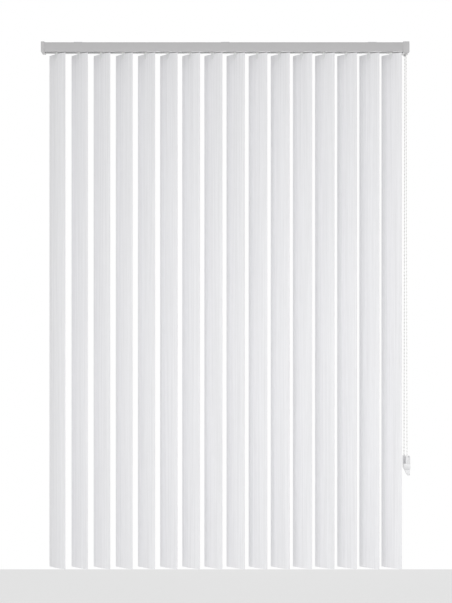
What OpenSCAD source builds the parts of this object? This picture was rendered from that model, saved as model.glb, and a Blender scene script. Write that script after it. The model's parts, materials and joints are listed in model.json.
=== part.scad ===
// Vertical blind: curved slats that turn together and draw along one headrail.
// +X runs to the control end, +Y to the window, +Z up. The origin is on the ceiling plane,
// in the middle bracket's screw hole. All sizes are in millimetres.

/* [Overall] */
// Width over both end caps
overall_w = 1300; // [1200:10:1380]
// Drop from the ceiling plane to the bottom of the slats
overall_drop = 1862; // [1650:1:2400]

/* [Slats] */
// Number of slats
slat_count = 16; // [15:1:17]
// Slat width from edge to edge
slat_w = 89; // [84:1:92]
// Slat thickness
slat_t = 0.8; // [0.6:0.1:1]
// Rise of the slat's curve across its width
slat_rise = 4; // [3:0.5:4.5]
// Turn of the slats from fully open, as photographed
slat_turn = 46; // [-76:1:76]
// Gap from the headrail's underside to the slat tops
slat_gap = 5.5; // [5:0.5:9]

/* [Headrail] */
// Depth of the extrusion
rail_w = 46; // [46:1:50]
// Height of the extrusion
rail_h = 32; // [32:0.5:36]
// Wall of the extrusion
rail_t = 1.4; // [1.2:0.1:1.6]
// Gap from the ceiling plane to the headrail
rail_gap = 4; // [4:0.5:6]
// Width of the slot that the hangers run in
slot_w = 14; // [13:0.5:15]
// Distance of the outer brackets' screws from the blind's ends
bracket_inset = 130; // [100:5:250]

/* [Ends] */
// Width of the idle end cap
idle_w = 12; // [10:1:14]
// Width of the control end, housing and cover together
control_w = 22; // [22:1:24]
// Distance from the headrail's ends to the first and last slat
end_margin = 40.5; // [38:0.5:50]

/* [Drive] */
// Distance of the tilt rod behind the hangers
rod_y = 8; // [7.5:0.5:9]
// Length of a carrier along the headrail
carrier_len = 24; // [18:1:24]

/* [Chain] */
// Distance between bead centres
bead_pitch = 12; // [12:0.5:12.5]
// Bead diameter
bead_d = 4.5; // [4:0.1:4.6]
// Cord diameter between the beads
string_d = 1.6; // [1.2:0.1:1.8]
// Pockets around the chain wheel
pocket_count = 8; // [8:2:8]
// Bead pitches in each straight strand
strand_pitches = 123; // [60:1:130]
// Turn of the loop's lower end about the vertical
loop_turn = 12; // [0:1:16]

/* [Hidden] */
$fn = 48;
eps = 0.01;
run_gap = 0.2;
seat_gap = 0.3;

// headrail, from the ceiling plane down
rail_top = -rail_gap;
rail_bot = rail_top - rail_h;
channel_h = 3;
web_top = rail_top - rail_t - channel_h;
web_bot = web_top - rail_t;
lip_t = 1.6;
lip_top = rail_bot + lip_t;
track_h = 1;
track_top = lip_top + track_h;
top_slot_w = 22;
rail_r = 2.5;
rail_x0 = -overall_w / 2 + idle_w;
rail_x1 = overall_w / 2 - control_w;
rail_len = rail_x1 - rail_x0;
cavity_w = rail_w - 2 * rail_t;
bracket_x = overall_w / 2 - bracket_inset;

// chain wheel and its chamber
wheel_r = pocket_count * bead_pitch / (2 * PI);
chamber_r = wheel_r + bead_d / 2 + 0.7;
shell_t = 1.6;
cap_gap = 1;
rod_z = -(cap_gap + shell_t + chamber_r);
chain_x = overall_w / 2 - 10;
cover_t = 3.5;
cover_x = overall_w / 2 - cover_t;
chamber_x = rail_x1 + 4.5;
housing_y0 = -rail_w / 2 - 1;
housing_y1 = max(rail_w / 2 + 1, rod_y + chamber_r + shell_t);
housing_z0 = min(rail_bot - 3, rod_z - chamber_r - shell_t);
guide_len = 3.5;
guide_r = bead_d / 2 + 2.3;
guide_bore_r = bead_d / 2 + 0.6;

// slats and hangers
slat_pitch = (rail_len - 2 * end_margin) / (slat_count - 1);
slat_top = rail_bot - slat_gap;
slat_r = (slat_w * slat_w / 4 + slat_rise * slat_rise) / (2 * slat_rise);
punch_top = slat_top - 6;
punch_h = 4;
punch_w = 9;
stem_r = 3;
boss_r = 5.2;
boss_z0 = rail_bot - 1.2;
collar_r = 5;
collar_h = 4;
body_z0 = track_top + 2.4;
collar_z0 = body_z0 + run_gap;
bridge_z1 = boss_z0 - 0.6;
bridge_z0 = slat_top + seat_gap;
jaw = slat_t / 2 + 0.25;
leg_t = 1.6;
leg_w = 8;
front_leg = 18;
back_leg = 13;

// tilt rod
rod_r = 3.4;
journal_r = 3;
rod_x0 = rail_x0 - 6;
rod_x1 = chain_x;

// carriers, and the spacer links that run through them on levels of their own
carrier_top = web_bot - 2.2;
rod_bore_r = rod_r + 0.35;
link_w = 6;
link_t = 0.4;
link_y = -4;
link_past = 4;
link_root = 8;
link_levels = 4;
link_step = 0.7;
way_w = link_w + 1;
way_h = link_levels * link_step + 0.5;
way_z0 = carrier_top - 1.4 - way_h;

// chain loop
half_turn = pocket_count / 2;
loop_beads = 2 * strand_pitches + 2 * half_turn;
loop_z = rod_z - strand_pitches * bead_pitch;

// chain tidy on the wall
wall_x = overall_w / 2 + 5;
tidy_plate_t = 3.5;
tidy_top = loop_z + 32;
tidy_split = loop_z + 5.5;
tidy_bot = loop_z - 37.7;
tidy_nose_x = chain_x - 7.5;
tunnel_r = bead_d / 2 + seat_gap;
barrel_r = tunnel_r + 2.6;
tidy_screw_r = 2.1;
tidy_screw_top = tidy_top - 9;
tidy_screw_bot = tidy_bot + 8;

function two(i) = i < 10 ? str("0", i) : str(i);
function slat_x(i) = rail_x0 + end_margin + (i - 1) * slat_pitch;
// back and front ends of the loop's lower half turn
function loop_side(side) = [chain_x - side * wheel_r * sin(loop_turn),
                            rod_y + side * wheel_r * cos(loop_turn), loop_z];
function wheel_side(side) = [chain_x, rod_y + side * wheel_r, rod_z];
function mix(a, b, k) = a + (b - a) * k;

// a drawing in Y and Z pushed out along X from x0 to x1
module along_x(x0, x1) {
    translate([x0, 0, 0]) rotate([90, 0, 90]) linear_extrude(height = x1 - x0) children();
}

// a drawing in X and Z pushed out along Y from y0 to y1
module along_y(y0, y1) {
    translate([0, y1, 0]) rotate([90, 0, 0]) linear_extrude(height = y1 - y0) children();
}

module rod_cyl(x0, x1, r) {
    translate([x0, rod_y, rod_z]) rotate([0, 90, 0]) cylinder(h = x1 - x0, r = r);
}

module box(x0, x1, y0, y1, z0, z1) {
    translate([x0, y0, z0]) cube([x1 - x0, y1 - y0, z1 - z0]);
}

module rect(x0, x1, y0, y1) {
    translate([x0, y0]) square([x1 - x0, y1 - y0]);
}

module round_rect(x0, x1, y0, y1, r) {
    rect(x0 + r, x1 - r, y0, y1);
    rect(x0, x1, y0 + r, y1 - r);
    for (x = [x0 + r, x1 - r], y = [y0 + r, y1 - r]) translate([x, y]) circle(r);
}

// Headrail: bracket channel over a web, carrier tracks below it
module rail_outline() {
    half = slot_w / 2;
    difference() {
        round_rect(-rail_w / 2, rail_w / 2, rail_bot, rail_top, rail_r);
        rect(-cavity_w / 2, cavity_w / 2, web_top, rail_top - rail_t);
        rect(-top_slot_w / 2, top_slot_w / 2, web_top, rail_top + 1);
        rect(-cavity_w / 2, cavity_w / 2, lip_top, web_bot);
        rect(-half, half, rail_bot - 1, web_bot);
    }
    for (s = [-1, 1]) {
        // raised tracks beside the slot
        translate([s * (half + 1), 0]) rect(-1, 1, lip_top - eps, track_top);
        // small fillets that stiffen the web
        translate([s * (cavity_w / 2 - 1), 0]) rect(-1 - eps, 1 + eps, web_bot - 1.2, web_bot + eps);
    }
}

module headrail() {
    color("white") along_x(rail_x0, rail_x1) rail_outline();
}

// Top-fix bracket: stamped hat whose feet hook under the headrail's upper lips
module bracket(x) {
    sheet = 1.2;
    leg_y = top_slot_w / 2 - 0.6;
    foot = 4.5;
    lip_under = rail_top - rail_t;
    color("silver") translate([x, 0, 0]) difference() {
        union() {
            along_x(-15, 15) {
                rect(-leg_y, leg_y, -sheet, 0);
                for (s = [0, 1]) mirror([s, 0]) {
                    rect(leg_y - sheet, leg_y, lip_under - sheet, 0);
                    rect(leg_y - sheet, leg_y + foot, lip_under - sheet, lip_under);
                }
            }
            // pressed stiffening bead on each side of the screw
            for (s = [-1, 1]) translate([s * 10, 0, -sheet]) rotate([90, 0, 0])
                cylinder(h = 12, r = 1, center = true);
        }
        translate([0, 0, -5]) cylinder(h = 6, r = 2.3);
    }
}

// the part of an end cap that plugs into the headrail's lower channel
module spigot(x0, x1) {
    half = cavity_w / 2 - run_gap;
    difference() {
        along_x(x0, x1) difference() {
            rect(-half, half, lip_top + track_h + run_gap, web_bot - 1.2 - run_gap);
            rect(-half + 2, half - 2, lip_top + track_h + 2, web_bot - 1.2 - 2);
            rect(-slot_w / 2, slot_w / 2, rail_bot, rod_z - 6);
        }
    }
}

// a cap whose outer edges are rounded; side is the way that the outer face looks
module cap_body(x0, x1, y0, y1, z0, z1, side) {
    r = 3;
    reach = 20;
    xa = side < 0 ? x0 : x0 - reach;
    xb = side < 0 ? x1 + reach : x1;
    intersection() {
        along_x(x0, x1) round_rect(y0, y1, z0, z1, r);
        along_y(y0, y1) round_rect(xa, xb, z0, z1, r);
        translate([0, 0, z0]) linear_extrude(height = z1 - z0) round_rect(xa, xb, y0, y1, r);
    }
}

module idle_end_cap() {
    x0 = -overall_w / 2;
    color("white") difference() {
        union() {
            cap_body(x0, rail_x0, housing_y0, rail_w / 2 + 1, rail_bot - 3, -cap_gap, -1);
            spigot(rail_x0 - eps, rail_x0 + 14);
            // bearing boss for the rod
            rod_cyl(rail_x0 - eps, rail_x0 + 3, 6);
        }
        rod_cyl(rod_x0 - seat_gap, rail_x0 + 20, journal_r + 0.1);
    }
}

module control_housing() {
    color("white") difference() {
        union() {
            along_x(rail_x1, cover_x)
                round_rect(housing_y0, housing_y1, housing_z0, -cap_gap, 3);
            spigot(rail_x1 - 14, rail_x1 + eps);
            for (s = [-1, 1]) translate([chain_x, rod_y + s * wheel_r, housing_z0 - guide_len])
                cylinder(h = guide_len + 4, r = guide_r);
        }
        rod_cyl(chamber_x, cover_x + 1, chamber_r);
        rod_cyl(rail_x1 - 20, cover_x, journal_r + 0.1);
        rod_cyl(rail_x1 - 20, rail_x1, rod_bore_r);
        for (s = [-1, 1]) translate([chain_x, rod_y + s * wheel_r, housing_z0 - guide_len - 1])
            cylinder(h = rod_z - housing_z0 + guide_len + 1, r = guide_bore_r);
    }
}

module control_cover() {
    color("white") difference() {
        union() {
            cap_body(cover_x, overall_w / 2, housing_y0, housing_y1, housing_z0, -cap_gap, 1);
            // rim that centres the cover in the chamber
            difference() {
                rod_cyl(cover_x - 1.5, cover_x + eps, chamber_r - run_gap);
                rod_cyl(cover_x - 2, cover_x, chamber_r - 2);
                box(0, overall_w, -99, 99, rod_z - 99, rod_z);
            }
        }
        rod_cyl(cover_x - 1, overall_w / 2 - 1.1, 4.1);
    }
}

module chain_wheel() {
    color("white") difference() {
        union() {
            rod_cyl(chain_x - 4.5, chain_x + 4.5, wheel_r + 1.1);
            rod_cyl(chamber_x + seat_gap, cover_x - seat_gap, 7);
            rod_cyl(cover_x - 1, overall_w / 2 - 1.4, 4);
        }
        // pockets that the beads sit in, and the groove for the cord
        for (k = [0:pocket_count - 1]) translate([chain_x, rod_y, rod_z])
            rotate([k * 360 / pocket_count, 0, 0]) translate([0, wheel_r, 0])
                sphere(r = bead_d / 2 + 0.15);
        difference() {
            rod_cyl(chain_x - string_d * 0.75, chain_x + string_d * 0.75, wheel_r + 2);
            rod_cyl(chain_x - string_d, chain_x + string_d, wheel_r - string_d / 2 - 0.3);
        }
        rod_cyl(chamber_x - 1, rod_x1, journal_r);
    }
}

// Tilt rod: three-lobed section between round journals
module tilt_rod() {
    color("lightgray") {
        translate([0, rod_y, rod_z]) along_x(rail_x0 + 4, rail_x1 - 4) {
            circle(2.5);
            for (k = [0:2]) rotate(k * 120) {
                rect(0, rod_r - 0.9, -0.9, 0.9);
                translate([rod_r - 0.9, 0]) circle(0.9);
            }
        }
        rod_cyl(rod_x0, rail_x0 + 4 + eps, journal_r);
        rod_cyl(rail_x1 - 4 - eps, rod_x1, journal_r);
    }
}

// Bead chain: endless cord with beads, over the wheel and round the tidy's saddle
module half_loop(centre, turn, up) {
    translate(centre) rotate([0, 0, turn]) rotate([up ? 90 : -90, 0, 90])
        rotate_extrude(angle = 180) translate([wheel_r, 0]) circle(r = string_d / 2);
}

// half of a strand's outline: the cord and its row of beads
module strand_outline(len) {
    step = len / strand_pitches;
    intersection() {
        union() {
            rect(-1, string_d / 2, 0, len);
            for (k = [0:strand_pitches]) translate([0, k * step]) circle(d = bead_d);
        }
        rect(0, bead_d, -bead_d, len + bead_d);
    }
}

module strand(side) {
    a = wheel_side(side);
    b = loop_side(side);
    d = a - b;
    translate(b) rotate([0, acos(d[2] / norm(d)), atan2(d[1], d[0])])
        rotate_extrude() strand_outline(norm(d));
}

module bead_chain() {
    step = 360 / pocket_count;
    color("white") union() {
        half_loop([chain_x, rod_y, rod_z], 0, true);
        half_loop([chain_x, rod_y, loop_z], loop_turn, false);
        for (s = [-1, 1]) strand(s);
        for (k = [1:half_turn - 1]) {
            translate([chain_x, rod_y - wheel_r * cos(k * step), rod_z + wheel_r * sin(k * step)])
                sphere(d = bead_d);
            translate([chain_x, rod_y, loop_z]) rotate([0, 0, loop_turn])
                translate([0, wheel_r * cos(k * step), -wheel_r * sin(k * step)])
                    sphere(d = bead_d);
        }
    }
}

// the way that the chain takes through the tidy, wide enough for the beads
module chain_way() {
    translate([chain_x, rod_y, loop_z]) rotate([0, 0, loop_turn]) {
        rotate([-90, 0, 90]) rotate_extrude(angle = 180) translate([wheel_r, 0]) circle(r = tunnel_r);
        for (s = [-1, 1]) translate([0, s * wheel_r, 0]) cylinder(h = 60, r = tunnel_r);
    }
}

module tidy_bracket() {
    shell_r = wheel_r + tunnel_r + 2;
    tongue = 8;
    plate_y = 13;
    color("white") difference() {
        union() {
            intersection() {
                // seen from the side: a cradle round the loop, drawn down to a tongue
                along_x(tidy_nose_x, wall_x) translate([rod_y, 0]) intersection() {
                    union() {
                        translate([0, loop_z]) circle(shell_r);
                        rect(-shell_r, shell_r, loop_z, tidy_split);
                        rect(-tongue, tongue, tidy_bot + tongue, loop_z);
                        translate([0, tidy_bot + tongue]) circle(tongue);
                    }
                    rect(-50, 50, tidy_bot - 1, tidy_split);
                }
                // seen from the front: the nose slopes back to the wall
                along_y(rod_y - 40, rod_y + 40) polygon([
                    [tidy_nose_x, tidy_split + 1], [tidy_nose_x, loop_z - 11],
                    [wall_x - 9, tidy_bot], [wall_x, tidy_bot], [wall_x, tidy_split + 1]]);
            }
            along_x(wall_x - tidy_plate_t, wall_x)
                round_rect(rod_y - plate_y, rod_y + plate_y, loop_z - 5, tidy_top, 4);
        }
        chain_way();
        for (z = [tidy_screw_top, tidy_screw_bot]) translate([0, rod_y, z]) rotate([0, 90, 0]) {
            translate([0, 0, wall_x - 30]) cylinder(h = 40, r = tidy_screw_r);
            translate([0, 0, wall_x - 30]) cylinder(h = 30 - tidy_plate_t + 1, r = 4.3);
        }
    }
}

module tidy_clip() {
    color("white") difference() {
        union() {
            for (s = [-1, 1]) {
                p = loop_side(s);
                translate([p[0], p[1], tidy_split]) cylinder(h = tidy_top - tidy_split, r = barrel_r);
                box(p[0], wall_x - tidy_plate_t, p[1] - 2.2, p[1] + 2.2, tidy_split, tidy_top - 4);
            }
            // cross-piece against the wall plate, open in the middle for the screw
            box(wall_x - tidy_plate_t - 2, wall_x - tidy_plate_t, rod_y - wheel_r, rod_y + wheel_r,
                tidy_split, tidy_top - 16);
        }
        chain_way();
    }
}

// Spacer link: a thin strip gripped by this carrier's walls, which runs through the carrier before it
module spacer_link(i) {
    x0 = slat_x(i - 1) - carrier_len / 2 - link_past + link_w / 2;
    x1 = slat_x(i) - carrier_len / 2 + 2;
    level = way_z0 + link_t + (i % link_levels) * link_step;
    translate([0, link_y, level]) linear_extrude(height = link_t) {
        translate([x0, 0]) circle(d = link_w);
        rect(x0, x1 + link_root, -link_w / 2, link_w / 2);
        rect(x1, x1 + link_root, -way_w / 2 - 0.6, way_w / 2 + 0.6);
    }
}

// Carrier: gearbox on two skids, with the hanger's socket below and the rod and links through it
module carrier_body() {
    half = carrier_len / 2;
    skid = cavity_w / 2 - 0.4;
    difference() {
        union() {
            along_x(-half, half) {
                round_rect(-9, rod_y + 7, body_z0 - 1, carrier_top, 1.5);
                rect(-skid, skid, track_top + run_gap, body_z0 + 0.4);
            }
            translate([0, 0, boss_z0]) cylinder(h = body_z0 - boss_z0, r = boss_r);
            // cheeks that run along the headrail's front and back walls
            for (s = [-1, 1]) along_y(s < 0 ? -skid : skid - 2.5, s < 0 ? -skid + 2.5 : skid)
                round_rect(-half + 2, half - 2, track_top + run_gap, track_top + 6, 1.2);
        }
        rod_cyl(-half - 1, half + 1, rod_bore_r);
        translate([0, 0, boss_z0 - 1]) cylinder(h = body_z0 - boss_z0 + 2, r = stem_r + run_gap);
        translate([0, 0, body_z0]) cylinder(h = collar_h + 2 * run_gap, r = collar_r + run_gap);
        box(-half - 1, half + 1, link_y - way_w / 2, link_y + way_w / 2, way_z0, way_z0 + way_h);
    }
}

module carrier(i) {
    color("white") {
        translate([slat_x(i), 0, 0]) carrier_body();
        if (i > 1) spacer_link(i);
    }
}

// Hanger: collar and stem in the carrier, two legs over the slat's top, nib through its punching
module leg(x0, reach, w) {
    z0 = slat_top - reach;
    along_x(x0, x0 + leg_t) {
        rect(-w / 2, w / 2, z0 + w / 2, bridge_z0 + eps);
        translate([0, z0 + w / 2]) circle(w / 2);
    }
}

module hanger(i) {
    thick = jaw + leg_t;
    color("whitesmoke") translate([slat_x(i), 0, 0]) rotate([0, 0, slat_turn]) {
        translate([0, 0, collar_z0]) cylinder(h = collar_h, r = collar_r);
        translate([0, 0, bridge_z1 - 1]) cylinder(h = collar_z0 - bridge_z1 + 1 + eps, r = stem_r);
        box(-thick, thick, -5, 5, bridge_z0, bridge_z1);
        leg(-thick, front_leg, leg_w);
        leg(jaw, back_leg, leg_w - 1);
        box(-jaw + 0.1, jaw + eps, -3.5, 3.5, punch_top - 3, punch_top);
    }
}

// Slat: one curved strip with a punched slot for the hanger's nib
module slat(i) {
    half = slat_w / 2;
    length = slat_top + overall_drop;
    color("white") translate([slat_x(i), 0, 0]) rotate([0, 0, slat_turn]) difference() {
        translate([0, 0, -overall_drop]) linear_extrude(height = length) intersection() {
            translate([slat_r, 0]) difference() {
                circle(slat_r + slat_t / 2);
                circle(slat_r - slat_t / 2);
            }
            rect(-2, slat_rise + 2, -half, half);
        }
        box(-3, 3, -punch_w / 2, punch_w / 2, punch_top - punch_h, punch_top);
    }
}

headrail();
bracket(-bracket_x);  // bracket_left
bracket(0);  // bracket_middle
bracket(bracket_x);  // bracket_right
idle_end_cap();
control_housing();
control_cover();
chain_wheel();
tilt_rod();
bead_chain();
tidy_bracket();
tidy_clip();
for (i = [1:slat_count]) {
    carrier(i);
    hanger(i);
    slat(i);
}
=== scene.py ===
"""Vertical blind: finer slats, headrail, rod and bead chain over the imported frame, with materials,
soft light and a camera at the photograph's angle. Units are metres, in the CAD frame."""
import json
import math

import bmesh
import bpy
from mathutils import Matrix, Vector


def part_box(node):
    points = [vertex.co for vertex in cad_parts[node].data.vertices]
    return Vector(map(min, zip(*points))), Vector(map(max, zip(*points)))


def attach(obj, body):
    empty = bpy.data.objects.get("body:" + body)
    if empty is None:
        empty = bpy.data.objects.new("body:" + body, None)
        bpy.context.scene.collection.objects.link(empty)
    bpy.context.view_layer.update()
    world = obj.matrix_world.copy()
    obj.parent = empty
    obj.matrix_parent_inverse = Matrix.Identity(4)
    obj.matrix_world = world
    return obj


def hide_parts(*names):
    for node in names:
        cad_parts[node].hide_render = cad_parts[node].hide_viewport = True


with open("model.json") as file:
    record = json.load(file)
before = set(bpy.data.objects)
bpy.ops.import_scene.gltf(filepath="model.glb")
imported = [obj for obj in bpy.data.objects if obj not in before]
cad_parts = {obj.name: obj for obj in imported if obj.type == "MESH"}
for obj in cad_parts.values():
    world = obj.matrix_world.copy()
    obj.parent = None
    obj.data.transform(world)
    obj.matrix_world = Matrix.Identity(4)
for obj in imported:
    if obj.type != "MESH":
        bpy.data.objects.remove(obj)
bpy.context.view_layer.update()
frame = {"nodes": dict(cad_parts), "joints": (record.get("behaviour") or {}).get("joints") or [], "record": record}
scene = bpy.context.scene
nodes = frame["nodes"]
MM = 0.001

# Sizes repeated from the part's source, in millimetres
SLAT_W, SLAT_T, SLAT_RISE, SLAT_TURN = 89.0, 0.8, 4.0, 46.0
PUNCH_W, PUNCH_H, PUNCH_DROP = 9.0, 4.0, 6.0
RAIL_W, RAIL_H, RAIL_T, RAIL_TOP, RAIL_R, SLOT_W, TOP_SLOT_W = 46.0, 32.0, 1.4, -4.0, 2.5, 14.0, 22.0
CHANNEL_H, LIP_T, TRACK_H, TRACK_W, RIB_H = 3.0, 1.6, 1.0, 2.0, 1.2
BEAD_PITCH, BEAD_D, STRING_D, POCKETS, STRAND_PITCHES, LOOP_TURN = 12.0, 4.5, 1.6, 8, 123, 12.0
CAP_GAP, SHELL_T, CHAMBER_GAP = 1.0, 1.6, 0.7
ROD_Y, CHAIN_X, ROD_R, ROD_CORE_R, LOBE_R, JOURNAL_R, JOURNAL_SEAT = 8.0, 640.0, 3.4, 2.5, 0.9, 3.0, 4.0
WHEEL_R = POCKETS * BEAD_PITCH / (2 * math.pi)
ROD_Z = -(CAP_GAP + SHELL_T + WHEEL_R + BEAD_D / 2 + CHAMBER_GAP)
LOOP_Z = ROD_Z - STRAND_PITCHES * BEAD_PITCH
SLAT_COUNT = 16

# Fineness of the meshes
SLAT_ROWS, SLAT_HALF_STEPS, RAIL_SPANS, CORNER_STEPS, LOBE_STEPS, JOURNAL_STEPS = 24, 16, 12, 7, 8, 24
BEAD_U, BEAD_V, TURN_STEPS, STRAND_STEPS, CORD_SIDES = 14, 9, 24, 40, 6


# Materials

class Nodes:
    """A material's node tree, with short calls to add and join nodes."""

    def __init__(self, name):
        self.mat = bpy.data.materials.new(name)
        self.mat.use_nodes = True
        self.tree = self.mat.node_tree
        self.bsdf = self.tree.nodes["Principled BSDF"]

    def add(self, kind, **values):
        n = self.tree.nodes.new(kind)
        for k, v in values.items():
            if k in n.inputs.keys():
                n.inputs[k].default_value = v
            else:
                setattr(n, k, v)
        return n

    def join(self, a, out, b, into):
        self.tree.links.new(a.outputs[out], b.inputs[into])

    def noise(self, scale, detail=4.0, stretch=(1, 1, 1), rough=0.55, shift=None):
        """Noise in the piece's own coordinates; stretch multiplies them, and shift moves them."""
        coord = self.add("ShaderNodeTexCoord")
        place = self.add("ShaderNodeMapping")
        place.inputs["Scale"].default_value = stretch
        if shift:
            self.join(shift, "Value", place, "Location")
        tex = self.add("ShaderNodeTexNoise", Scale=scale, Detail=detail, Roughness=rough)
        self.join(coord, "Object", place, "Vector")
        self.join(place, "Vector", tex, "Vector")
        return tex

    def ramp(self, source, stops, out="Fac"):
        r = self.add("ShaderNodeValToRGB")
        el = r.color_ramp.elements
        while len(el) < len(stops):
            el.new(0.5)
        for e, (at, colour) in zip(el, stops):
            e.position = at
            e.color = (*colour, 1)
        self.join(source, out, r, "Fac")
        return r

    def spread(self, source, low, high, into):
        """Maps 0.3 to 0.7 of a noise onto low to high of a shader socket."""
        m = self.add("ShaderNodeMapRange")
        m.inputs["From Min"].default_value = 0.3
        m.inputs["From Max"].default_value = 0.7
        m.inputs["To Min"].default_value = low
        m.inputs["To Max"].default_value = high
        self.join(source, "Fac", m, "Value")
        self.join(m, "Result", self.bsdf, into)

    def bump(self, source, strength, distance, after=None):
        b = self.add("ShaderNodeBump", Strength=strength, Distance=distance)
        self.join(source, "Fac", b, "Height")
        if after:
            self.join(after, "Normal", b, "Normal")
        self.join(b, "Normal", self.bsdf, "Normal")
        return b


def tint(colour, by):
    return tuple(min(1, c * by) for c in colour)


def plastic(name, colour, rough, bump=0.08):
    """Moulded plastic: faint flow marks, a fine spark-eroded skin and uneven gloss."""
    n = Nodes(name)
    flow = n.noise(35, 3)
    n.join(n.ramp(flow, [(0.35, tint(colour, 0.965)), (0.65, colour)]), "Color", n.bsdf, "Base Color")
    n.spread(flow, rough - 0.05, rough + 0.07, "Roughness")
    n.bump(n.noise(2600, 2), bump, 0.00008)
    n.bsdf.inputs["Specular IOR Level"].default_value = 0.45
    return n.mat


def slat_material():
    """White PVC, embossed with a fine upright grain that starts elsewhere on each slat."""
    n = Nodes("slat_pvc")
    colour = (0.88, 0.88, 0.895)
    info = n.add("ShaderNodeObjectInfo")
    shift = n.add("ShaderNodeMath", operation="MULTIPLY")
    shift.inputs[1].default_value = 60.0
    n.join(info, "Random", shift, 0)
    broad = n.noise(1.0, 3, (150, 150, 1.8), shift=shift)
    fine = n.noise(1.0, 5, (900, 900, 14), 0.65, shift)
    pores = n.noise(1.0, 2, (2200, 2200, 60))
    grain = n.ramp(fine, [(0.34, tint(colour, 0.955)), (0.52, colour), (0.7, tint(colour, 1.02))])
    streaks = n.ramp(broad, [(0.34, (0.94, 0.94, 0.94)), (0.62, (1, 1, 1))])
    both = n.add("ShaderNodeMix", data_type="RGBA", blend_type="MULTIPLY")
    both.inputs[0].default_value = 1.0
    n.join(grain, "Color", both, 6)
    n.join(streaks, "Color", both, 7)
    n.join(both, 2, n.bsdf, "Base Color")
    n.spread(broad, 0.40, 0.54, "Roughness")
    first = n.bump(fine, 0.34, 0.00022)
    second = n.bump(pores, 0.16, 0.00010, after=first)
    n.bump(broad, 0.12, 0.0005, after=second)
    n.bsdf.inputs["Specular IOR Level"].default_value = 0.42
    return n.mat


def rail_material():
    """Powder coat on aluminium, with its faint orange peel; its off-white is darkened to grey, partly the coat's
    own tone and partly painted shade of the recess over the rail.
    """
    n = Nodes("rail_coated")
    # painted shade: the coat's colour is set to about half of white, standing in for the shade of the recess over
    # the rail
    colour = (0.51, 0.506, 0.51)
    cloud = n.noise(14, 3)
    peel = n.noise(900, 2)
    n.join(n.ramp(cloud, [(0.3, tint(colour, 0.97)), (0.7, colour)]), "Color", n.bsdf, "Base Color")
    n.spread(cloud, 0.34, 0.44, "Roughness")
    n.bump(peel, 0.10, 0.00012)
    return n.mat


def rod_material():
    """Mill-finish aluminium, drawn along the rod."""
    n = Nodes("rod_aluminium")
    drawn = n.noise(1.0, 5, (5, 1800, 1800), 0.6)
    n.join(n.ramp(drawn, [(0.35, (0.60, 0.61, 0.62)), (0.65, (0.76, 0.77, 0.78))]),
           "Color", n.bsdf, "Base Color")
    n.spread(drawn, 0.26, 0.42, "Roughness")
    n.bump(drawn, 0.15, 0.0001)
    n.bsdf.inputs["Metallic"].default_value = 1.0
    return n.mat


def bracket_material():
    """Zinc-plated pressed steel, with a dull spangle."""
    n = Nodes("bracket_steel")
    spangle = n.add("ShaderNodeTexVoronoi", Scale=180.0)
    coord = n.add("ShaderNodeTexCoord")
    n.join(coord, "Object", spangle, "Vector")
    haze = n.noise(60, 4)
    n.join(n.ramp(spangle, [(0.0, (0.55, 0.56, 0.58)), (1.0, (0.70, 0.71, 0.72))], "Distance"),
           "Color", n.bsdf, "Base Color")
    n.spread(haze, 0.30, 0.48, "Roughness")
    n.bump(haze, 0.08, 0.0001)
    n.bsdf.inputs["Metallic"].default_value = 1.0
    return n.mat


MATERIALS = {
    "slat_pvc": slat_material(),
    "rail_coated": rail_material(),
    # painted shade: this plastic is darkened to grey, partly its own tone and partly the shade of the recess over
    # the headrail
    "cap_plastic": plastic("cap_plastic", (0.55, 0.546, 0.55), 0.40),
    "tidy_plastic": plastic("tidy_plastic", (0.81, 0.81, 0.82), 0.36),
    "wheel_plastic": plastic("wheel_plastic", (0.66, 0.66, 0.64), 0.42),
    "carrier_plastic": plastic("carrier_plastic", (0.68, 0.68, 0.66), 0.46),
    "hanger_plastic": plastic("hanger_plastic", (0.82, 0.83, 0.83), 0.30, bump=0.05),
    "chain_plastic": plastic("chain_plastic", (0.80, 0.80, 0.78), 0.22, bump=0.03),
    "rod_aluminium": rod_material(),
    "bracket_steel": bracket_material(),
}
SLOT_OF = {s["node"]: s["material_slot"] for s in frame["record"]["subparts"]}


def dress(obj, slot):
    obj.data.materials.clear()
    obj.data.materials.append(MATERIALS[slot])


# Building

def piece(name, mesh, body, node, smooth=35, matrix=None):
    """A finished mesh that stands for a CAD node and rides on its body."""
    obj = bpy.data.objects.new(name, mesh)
    scene.collection.objects.link(obj)
    if matrix:
        obj.matrix_world = matrix
    for p in mesh.polygons:
        p.use_smooth = True
    mesh.set_sharp_from_angle(angle=math.radians(smooth))
    dress(obj, SLOT_OF[node])
    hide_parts(node)
    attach(obj, body)
    return obj


def mesh_from(name, verts, faces, thick=0.0):
    """A closed mesh from points in millimetres; a sheet is thickened behind its faces."""
    me = bpy.data.meshes.new(name)
    me.from_pydata([tuple(c * MM for c in v) for v in verts], [], faces)
    bm = bmesh.new()
    bm.from_mesh(me)
    bmesh.ops.remove_doubles(bm, verts=bm.verts, dist=1e-7)
    if thick:
        bmesh.ops.solidify(bm, geom=bm.faces[:], thickness=thick * MM)
    bmesh.ops.recalc_face_normals(bm, faces=bm.faces)
    bm.to_mesh(me)
    bm.free()
    me.validate()
    return me


def arc(cx, cy, r, a0, a1, n):
    """Points round a circle, from a0 to a1 degrees."""
    return [(cx + r * math.cos(math.radians(a0 + (a1 - a0) * k / n)),
             cy + r * math.sin(math.radians(a0 + (a1 - a0) * k / n))) for k in range(n + 1)]


def extrude_x(name, outline, stations):
    """An outline in Y and Z pushed along X through the stations, with flat ends."""
    n = len(outline)
    verts = [(x, y, z) for x in stations for y, z in outline]
    faces = []
    for s in range(len(stations) - 1):
        a, b = s * n, (s + 1) * n
        faces += [(a + k, a + (k + 1) % n, b + (k + 1) % n, b + k) for k in range(n)]
    faces.append(tuple(reversed(range(n))))
    faces.append(tuple((len(stations) - 1) * n + k for k in range(n)))
    return mesh_from(name, verts, faces)


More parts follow.
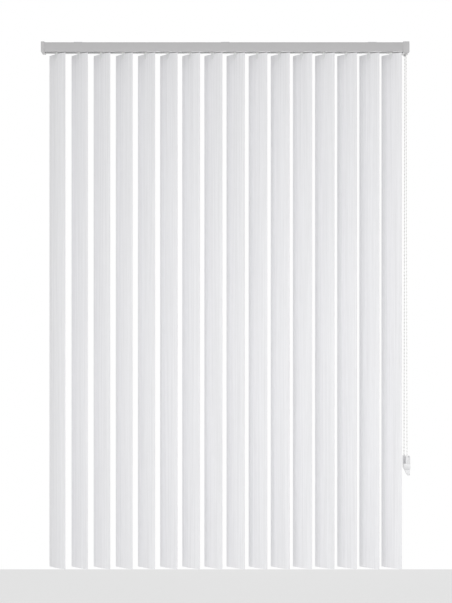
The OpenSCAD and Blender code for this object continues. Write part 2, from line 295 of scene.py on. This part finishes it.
def slat_mesh(top, bottom):
    """One slat about its hanger's axis, fully open: a curved sheet with a punched slot."""
    r = (SLAT_W ** 2 / 4 + SLAT_RISE ** 2) / (2 * SLAT_RISE)
    end, slot = math.asin(SLAT_W / 2 / r), math.asin(PUNCH_W / 2 / r)
    steps = range(-SLAT_HALF_STEPS, SLAT_HALF_STEPS + 1)
    angles = sorted([end * k / SLAT_HALF_STEPS for k in steps] + [-slot, slot])
    slot_top = top - PUNCH_DROP
    slot_bot = slot_top - PUNCH_H
    rows = [bottom + (slot_bot - bottom) * k / SLAT_ROWS for k in range(SLAT_ROWS + 1)]
    rows += [slot_top, top]
    out = r + SLAT_T / 2
    verts = [(r - out * math.cos(a), out * math.sin(a), z) for z in rows for a in angles]
    wide = len(angles)
    faces = []
    for j in range(len(rows) - 1):
        for k in range(wide - 1):
            punched = rows[j] == slot_bot and abs(angles[k] + angles[k + 1]) / 2 < slot
            if not punched:
                a, b = j * wide + k, (j + 1) * wide + k
                faces.append((a + 1, a, b, b + 1))
    return mesh_from("slat", verts, faces, SLAT_T)


def mirrored(outline):
    return [(-y, z) for y, z in reversed(outline)]


def rail_outline():
    """The extrusion's section: a slotted top with a channel under it, and two tracks beside a slot."""
    w, inner = RAIL_W / 2, RAIL_W / 2 - RAIL_T
    bot = RAIL_TOP - RAIL_H
    web_top = RAIL_TOP - RAIL_T - CHANNEL_H
    web_bot = web_top - RAIL_T
    rib_bot = web_bot - RIB_H
    lip = bot + LIP_T
    track = lip + TRACK_H
    s, t, r = SLOT_W / 2, TOP_SLOT_W / 2, RAIL_R
    side = [(t, RAIL_TOP)]
    side += arc(w - r, RAIL_TOP - r, r, 90, 0, CORNER_STEPS)
    side += arc(w - r, bot + r, r, 0, -90, CORNER_STEPS)
    side += [(s, bot), (s, track), (s + TRACK_W, track), (s + TRACK_W, lip), (inner, lip),
             (inner, rib_bot), (inner - TRACK_W, rib_bot), (inner - TRACK_W, web_bot)]
    upper = [(inner, web_top), (inner, RAIL_TOP - RAIL_T), (t, RAIL_TOP - RAIL_T)]
    return side + mirrored(side) + mirrored(upper) + upper


def rod_outline():
    """Three rounded lobes round a core."""
    pts = []
    meet = math.degrees(math.asin(LOBE_R / ROD_CORE_R))
    for c in (0, 120, 240):
        ca, sa = math.cos(math.radians(c)), math.sin(math.radians(c))
        tip = arc(ROD_R - LOBE_R, 0, LOBE_R, -90, 90, LOBE_STEPS)
        pts += [(x * ca - y * sa, x * sa + y * ca) for x, y in tip]
        pts += arc(0, 0, ROD_CORE_R, c + meet, c + 120 - meet, LOBE_STEPS)
    return [(ROD_Y + y, ROD_Z + z) for y, z in pts]


def chain_mesh():
    """Round beads on their cord: over the wheel, down both strands and round the tidy's saddle."""
    turn = math.radians(LOOP_TURN)

    def upper(a):
        return Vector((CHAIN_X, ROD_Y - WHEEL_R * math.cos(a), ROD_Z + WHEEL_R * math.sin(a)))

    def lower(a):
        d = WHEEL_R * math.cos(a)
        z = LOOP_Z - WHEEL_R * math.sin(a)
        return Vector((CHAIN_X - d * math.sin(turn), ROD_Y + d * math.cos(turn), z))

    step = 2 * math.pi / POCKETS
    half = POCKETS // 2
    beads = [upper(k * step) for k in range(half + 1)]
    back = (upper(math.pi), lower(0))
    front = (lower(math.pi), upper(0))
    beads += [back[0].lerp(back[1], k / STRAND_PITCHES) for k in range(1, STRAND_PITCHES + 1)]
    beads += [lower(k * step) for k in range(1, half + 1)]
    beads += [front[0].lerp(front[1], k / STRAND_PITCHES) for k in range(1, STRAND_PITCHES)]
    path = [upper(math.pi * k / TURN_STEPS) for k in range(TURN_STEPS + 1)]
    path += [back[0].lerp(back[1], k / STRAND_STEPS) for k in range(1, STRAND_STEPS + 1)]
    path += [lower(math.pi * k / TURN_STEPS) for k in range(1, TURN_STEPS + 1)]
    path += [front[0].lerp(front[1], k / STRAND_STEPS) for k in range(1, STRAND_STEPS)]
    bm = bmesh.new()
    bmesh.ops.create_uvsphere(bm, u_segments=BEAD_U, v_segments=BEAD_V, radius=BEAD_D / 2)
    ball = [v.co.copy() for v in bm.verts]
    skin = [[v.index for v in f.verts] for f in bm.faces]
    bm.free()
    verts, faces = [], []
    for b in beads:
        faces += [[len(verts) + k for k in f] for f in skin]
        verts += [b + v for v in ball]
    # the cord between them: a closed tube with few sides
    first, n, m = len(verts), len(path), CORD_SIDES
    side = Vector((math.cos(turn), math.sin(turn), 0))
    for k, p in enumerate(path):
        ahead = (path[(k + 1) % n] - path[k - 1]).normalized()
        up = ahead.cross(side).normalized()
        across = up.cross(ahead)
        for a in (2 * math.pi * j / m for j in range(m)):
            verts.append(p + (across * math.cos(a) + up * math.sin(a)) * STRING_D / 2)
        here, then = first + m * k, first + m * ((k + 1) % n)
        faces += [[here + j, here + (j + 1) % m, then + (j + 1) % m, then + j] for j in range(m)]
    return mesh_from("bead_chain_fine", verts, faces)


# Pieces

for name, obj in nodes.items():
    dress(obj, "tidy_plastic" if name.startswith("tidy_") else SLOT_OF[name])

low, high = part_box("slat_01")
slat = slat_mesh(high[2] / MM, low[2] / MM)
pivots = {j["child"]: j["pos_m"] for j in frame["joints"] if j["name"].startswith("tilt_")}
for i in range(1, SLAT_COUNT + 1):
    body = f"vane_{i:02d}"
    turned = Matrix.Rotation(math.radians(SLAT_TURN), 4, "Z")
    place = Matrix.Translation((pivots[body][0], 0, 0)) @ turned
    piece(f"slat_strip_{i:02d}", slat, body, f"slat_{i:02d}", matrix=place)

low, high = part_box("headrail")
rail_x0, rail_x1 = low[0] / MM, high[0] / MM
stations = [rail_x0 + (rail_x1 - rail_x0) * k / RAIL_SPANS for k in range(RAIL_SPANS + 1)]
rail = piece("rail_extrusion", extrude_x("rail_extrusion", rail_outline(), stations), "frame", "headrail")
edges = rail.modifiers.new("edges", "BEVEL")
edges.width = 0.0003
edges.segments = 2
edges.limit_method = "ANGLE"
edges.angle_limit = math.radians(50)

low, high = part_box("tilt_rod")
x0, x1 = low[0] / MM, high[0] / MM
r0, r1 = rail_x0 + JOURNAL_SEAT, rail_x1 - JOURNAL_SEAT
journal = [(ROD_Y + y, ROD_Z + z) for y, z in arc(0, 0, JOURNAL_R, 0, 360, JOURNAL_STEPS)[:-1]]
rod = extrude_x("rod_lobes", rod_outline(), [r0, r1])
ends = [extrude_x("rod_end", journal, [a, b]) for a, b in ((x0, r0), (r1, x1))]
bm = bmesh.new()
for m in (rod, *ends):
    bm.from_mesh(m)
bm.to_mesh(rod)
bm.free()
piece("rod_lobed", rod, "rod", "tilt_rod", smooth=40)

piece("bead_chain_fine", chain_mesh(), "frame", "bead_chain", smooth=60)


# Stage, light and camera

def floor_material(colour, even):
    """A pale floor; even is the share of a flat pale grey that the camera sees in it."""
    n = Nodes("floor_pale")
    n.bsdf.inputs["Base Color"].default_value = (*colour, 1)
    n.bsdf.inputs["Roughness"].default_value = 0.9
    ray = n.add("ShaderNodeLightPath")
    glow = n.add("ShaderNodeEmission", Color=(1, 1, 1, 1), Strength=0.8)
    share = n.add("ShaderNodeMath", operation="MULTIPLY")
    share.inputs[1].default_value = even
    mix = n.add("ShaderNodeMixShader")
    n.join(ray, "Is Camera Ray", share, 0)
    n.join(share, "Value", mix, "Fac")
    n.join(n.bsdf, "BSDF", mix, 1)
    n.join(glow, "Emission", mix, 2)
    n.join(mix, "Shader", n.tree.nodes["Material Output"], "Surface")
    return n.mat


def floor(z, x, y0, y1):
    me = bpy.data.meshes.new("floor")
    me.from_pydata([(-x, y0, z), (x, y0, z), (x, y1, z), (-x, y1, z)], [], [(0, 1, 2, 3)])
    me.materials.append(floor_material((0.88, 0.88, 0.88), 0.75))
    obj = bpy.data.objects.new("floor", me)
    scene.collection.objects.link(obj)


def studio_world(level):
    """Even light at a level; the camera and mirror-like rays see plain white."""
    world = bpy.data.worlds.new("studio")
    world.use_nodes = True
    tree = world.node_tree
    ray = tree.nodes.new("ShaderNodeLightPath")
    sky = tree.nodes["Background"]
    sky.inputs["Color"].default_value = (1, 1, 1, 1)
    seen = ray.outputs["Is Camera Ray"]
    for kind in ("Is Glossy Ray", "Is Transmission Ray"):
        either = tree.nodes.new("ShaderNodeMath")
        either.operation = "MAXIMUM"
        tree.links.new(seen, either.inputs[0])
        tree.links.new(ray.outputs[kind], either.inputs[1])
        seen = either.outputs[0]
    strength = tree.nodes.new("ShaderNodeMapRange")
    strength.inputs["To Min"].default_value = level
    strength.inputs["To Max"].default_value = 1.0
    tree.links.new(seen, strength.inputs["Value"])
    tree.links.new(strength.outputs["Result"], sky.inputs["Strength"])
    scene.world = world


def softbox(name, place, aim, size, power):
    """A soft lamp that isn't itself in the picture, from whatever side it is seen."""
    lamp = bpy.data.lights.new(name, "AREA")
    lamp.shape = "RECTANGLE"
    lamp.size, lamp.size_y = size
    lamp.energy = power
    obj = bpy.data.objects.new(name, lamp)
    scene.collection.objects.link(obj)
    obj.location = place
    obj.rotation_euler = (Vector(aim) - Vector(place)).to_track_quat("-Z", "Y").to_euler()
    obj.visible_camera = False


FLOOR_Z = -2.12
floor(FLOOR_Z, 30, -30, 1.4)
studio_world(0.6)
softbox("key", (-0.4, -2.7, -1.15), (0, 0, -1.05), (2.4, 1.4), 28)
softbox("fill", (1.5, -3.0, -1.15), (0, 0, -1.1), (1.6, 1.4), 10)
softbox("rear", (0.5, 2.8, -0.9), (0, 0, -1.0), (2.2, 1.4), 14)

# the frame is 452 by 603 pixels; focal length and horizon, in pixels, were fitted to slats and rail
FRAME_H, FOCAL_PX, HORIZON = 603, 1294.6, 335.0
SENSOR = 36
cam = bpy.data.cameras.new("camera")
cam.sensor_width = SENSOR
cam.lens = FOCAL_PX / FRAME_H * SENSOR
cam.shift_y = (HORIZON - FRAME_H / 2) / FRAME_H
cam.clip_end = 60
view = bpy.data.objects.new("camera", cam)
scene.collection.objects.link(view)
view.location = (0.003, -4.587, -1.0365)
view.rotation_euler = (math.radians(90), 0, 0)
scene.camera = view
scene.view_settings.view_transform = "Standard"
